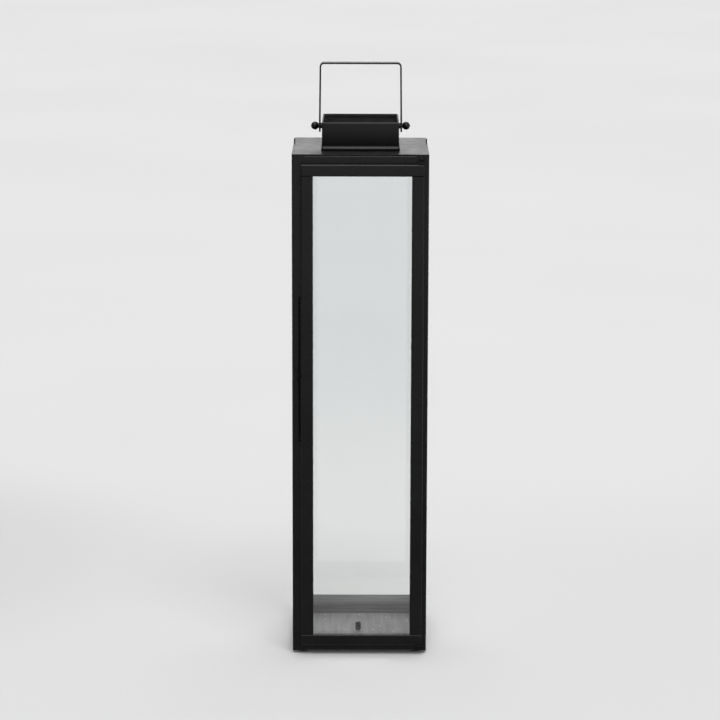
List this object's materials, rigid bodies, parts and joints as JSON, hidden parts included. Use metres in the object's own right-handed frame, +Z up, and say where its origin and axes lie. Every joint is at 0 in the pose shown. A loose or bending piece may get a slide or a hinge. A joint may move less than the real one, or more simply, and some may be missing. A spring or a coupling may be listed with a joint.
{
  "type": "hurricane candle lantern",
  "caption": "Tall square floor lantern: black sheet-metal case with glass sides, a hinged glazed door, a square chimney and a folding strap bail.",
  "frame": {"origin": "on the ground, under the middle of the lantern's outline (case plus the proud door)", "axes": "+Z up, -Y towards the door side, +X towards the door's hinge side"},
  "size_m": [0.2, 0.2112, 0.878],
  "materials": {
    "black_paint": "satin black powder coat, fine texture",
    "glass": "clear float glass, polished",
    "rubber_pad": "matte",
    "zinc_steel": "dull zinc plate"
  },
  "bodies": {
    "case": {"roof_plate": "black_paint", "top_rail_front": "black_paint", "top_rail_back": "black_paint", "top_rail_left": "black_paint", "top_rail_right": "black_paint", "post_front_left": "black_paint", "post_front_right": "black_paint", "post_back_left": "black_paint", "post_back_right": "black_paint", "base_rail_front": "black_paint", "base_rail_back": "black_paint", "base_rail_left": "black_paint", "base_rail_right": "black_paint", "floor_plate": "black_paint", "foot_front_left": "rubber_pad", "foot_front_right": "rubber_pad", "foot_back_left": "rubber_pad", "foot_back_right": "rubber_pad", "foot_rivets": "zinc_steel", "pane_back": "glass", "pane_left": "glass", "pane_right": "glass", "pane_angle_front_left": "black_paint", "pane_angle_front_right": "black_paint", "pane_angle_back_left": "black_paint", "pane_angle_back_right": "black_paint", "pane_clip_back": "black_paint", "pane_clip_left": "black_paint", "pane_clip_right": "black_paint", "chimney": "black_paint", "pivot_bolt_left": "zinc_steel", "pivot_bolt_right": "zinc_steel", "pivot_spacer_left": "black_paint", "pivot_spacer_right": "black_paint", "ball_nut_left": "black_paint", "ball_nut_right": "black_paint", "latch_spring": "black_paint", "latch_plate": "black_paint", "latch_rivets": "black_paint", "hinge_lug_top": "black_paint", "hinge_lug_bottom": "black_paint", "hinge_rivets": "black_paint", "hinge_washer": "black_paint", "candle_stud": "black_paint", "stud_screw": "zinc_steel"},
    "door": {"door_rail_top": "black_paint", "door_rail_bottom": "black_paint", "door_stile_left": "black_paint", "door_stile_right": "black_paint", "door_pane": "glass", "door_clips": "black_paint", "door_clip_screws": "zinc_steel", "door_pin_top": "black_paint", "door_pin_bottom": "black_paint", "door_knob": "black_paint", "knob_nut": "zinc_steel"},
    "bail": {"bail_handle": "black_paint"}
  },
  "joints": [
    {"name": "door_swing", "type": "hinge", "parent": "case", "child": "door", "pos_m": [0.089, -0.1009, 0.38], "axis": [0, 0, 1], "range_deg": [0, 165]},
    {"name": "bail_swing", "type": "hinge", "parent": "case", "child": "bail", "pos_m": [0, 0.0056, 0.7839], "axis": [1, 0, 0], "range_deg": [-102, 102]}
  ]
}
